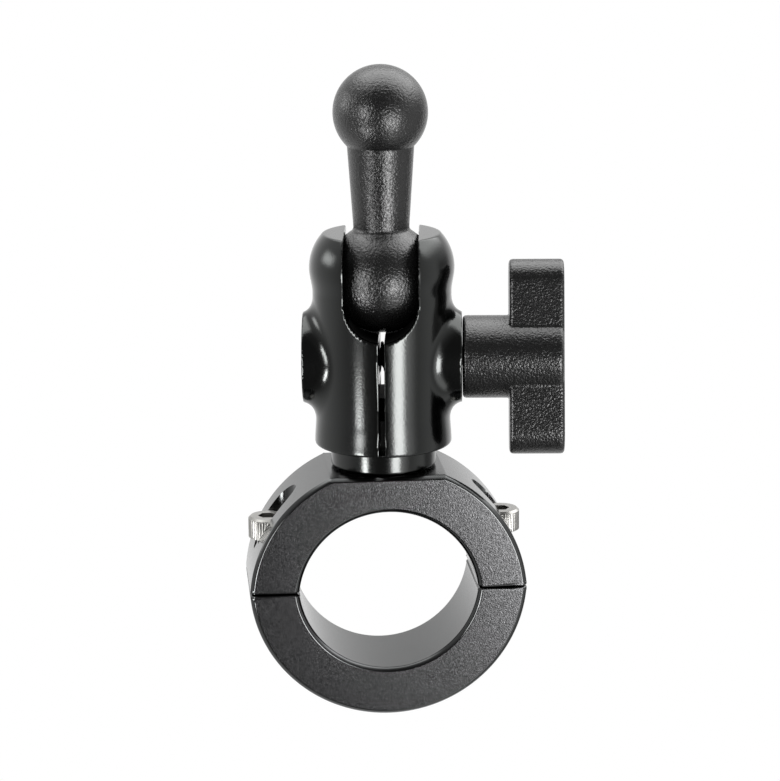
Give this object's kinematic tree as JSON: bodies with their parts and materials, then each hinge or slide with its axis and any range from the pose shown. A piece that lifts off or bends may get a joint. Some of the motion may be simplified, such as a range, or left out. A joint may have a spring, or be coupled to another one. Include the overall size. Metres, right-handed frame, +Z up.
{
  "type": "phone mount",
  "caption": "Handlebar phone mount: bolted split-ring clamp, swivelling jaw arm tightened by a wing knob, and a tilting stud with a ball at each end.",
  "frame": {"origin": "centre of the handlebar bore, on the split between the ring's halves, at mid depth", "axes": "+Z up along the arm, +Y along the handlebar away from the front face, +X to the knob's side"},
  "size_m": [0.0587, 0.0248, 0.1181],
  "materials": {
    "blasted_aluminium": "sand-blasted and black anodised, with smooth turned outer and bore surfaces",
    "gloss_aluminium": "gloss black anodised",
    "moulded_nylon": "moulded black nylon with a fine grain",
    "bright_steel": "bright zinc-plated steel",
    "dark_steel": "black oxide steel"
  },
  "bodies": {
    "clamp_base": {"clamp_upper_half": "blasted_aluminium", "swivel_post": "gloss_aluminium", "post_screw": "dark_steel"},
    "clamp_cap": {"clamp_lower_half": "blasted_aluminium"},
    "left_bolt": {"clamp_bolt_left": "bright_steel"},
    "right_bolt": {"clamp_bolt_right": "bright_steel"},
    "arm": {"left_jaw": "gloss_aluminium", "jaw_nut": "bright_steel", "jaw_spring": "dark_steel"},
    "moving_jaw": {"right_jaw": "gloss_aluminium", "knob_washer": "dark_steel"},
    "knob": {"wing_knob": "moulded_nylon", "knob_screw": "dark_steel"},
    "stud": {"ball_stud": "moulded_nylon"}
  },
  "joints": [
    {"name": "arm_swivel", "type": "hinge", "parent": "clamp_base", "child": "arm", "pos_m": [0, 0, 0.02535], "axis": [0, 0, 1], "continuous": true},
    {"name": "stud_tilt", "type": "hinge", "parent": "arm", "child": "stud", "pos_m": [0, 0, 0.0562], "axis": [0.9942, -0.108, 0], "range_deg": [-90, 90]},
    {"name": "jaw_open", "type": "slide", "parent": "arm", "child": "moving_jaw", "axis": [0.9942, -0.108, 0], "range_m": [0, 0.00117], "deforming": ["jaw_spring"]},
    {"name": "knob_turn", "type": "hinge", "parent": "moving_jaw", "child": "knob", "pos_m": [0, 0, 0.0414], "axis": [0.9942, -0.108, 0], "range_deg": [0, 600]},
    {"name": "left_bolt_turn", "type": "hinge", "parent": "clamp_base", "child": "left_bolt", "pos_m": [-0.02146, 0, 0.0083], "axis": [0, 0, 1], "range_deg": [0, 1800]},
    {"name": "right_bolt_turn", "type": "hinge", "parent": "clamp_base", "child": "right_bolt", "pos_m": [0.02146, 0, 0.0083], "axis": [0, 0, 1], "range_deg": [0, 1800]},
    {"name": "cap_open", "type": "slide", "parent": "clamp_base", "child": "clamp_cap", "axis": [0, 0, -1], "range_m": [0, 0.0035]}
  ],
  "couplings": [
    {"joint": "knob_turn", "follows": "jaw_open", "rad_per_m": 8976},
    {"joint": "left_bolt_turn", "follows": "cap_open", "rad_per_m": 8976},
    {"joint": "right_bolt_turn", "follows": "cap_open", "rad_per_m": 8976}
  ]
}
